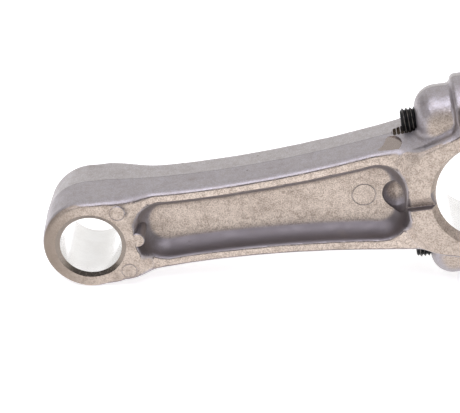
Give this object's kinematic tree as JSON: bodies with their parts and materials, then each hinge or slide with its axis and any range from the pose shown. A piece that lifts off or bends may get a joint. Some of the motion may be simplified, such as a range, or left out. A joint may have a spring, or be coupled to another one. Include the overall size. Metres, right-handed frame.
{
  "type": "engine connecting rod",
  "caption": "Cast aluminium connecting rod with an I-beam shank, a plain wrist pin bore and a split crankpin end whose cap is held by flange bolts.",
  "frame": {"origin": "centre of the crankpin bore, on the split plane, midway between the thrust faces", "axes": "the shank runs along -X to the wrist pin bore and the cap lies on +X; both bores run along Y; the bolts stand above and below on +Z and -Z"},
  "size_m": [0.169, 0.029, 0.0716],
  "materials": {
    "rod_casting": "die-cast aluminium, satin with a fine grain, bores machined bright",
    "cap_casting": "die-cast aluminium, satin with a fine grain, bore and split face machined bright",
    "bolt_steel": "black oxide, slightly oily"
  },
  "bodies": {
    "rod": {"rod_body": "rod_casting"},
    "cap": {"bearing_cap": "cap_casting"},
    "upper_bolt": {"upper_cap_bolt": "bolt_steel"},
    "lower_bolt": {"lower_cap_bolt": "bolt_steel"}
  },
  "joints": [
    {"name": "cap_removal", "type": "slide", "parent": "rod", "child": "cap", "axis": [1, 0, 0], "range_m": [0, 0.045]},
    {"name": "upper_bolt_removal", "type": "slide", "parent": "cap", "child": "upper_bolt", "axis": [1, 0, 0], "range_m": [0, 0.045]},
    {"name": "lower_bolt_removal", "type": "slide", "parent": "cap", "child": "lower_bolt", "axis": [1, 0, 0], "range_m": [0, 0.045]}
  ]
}
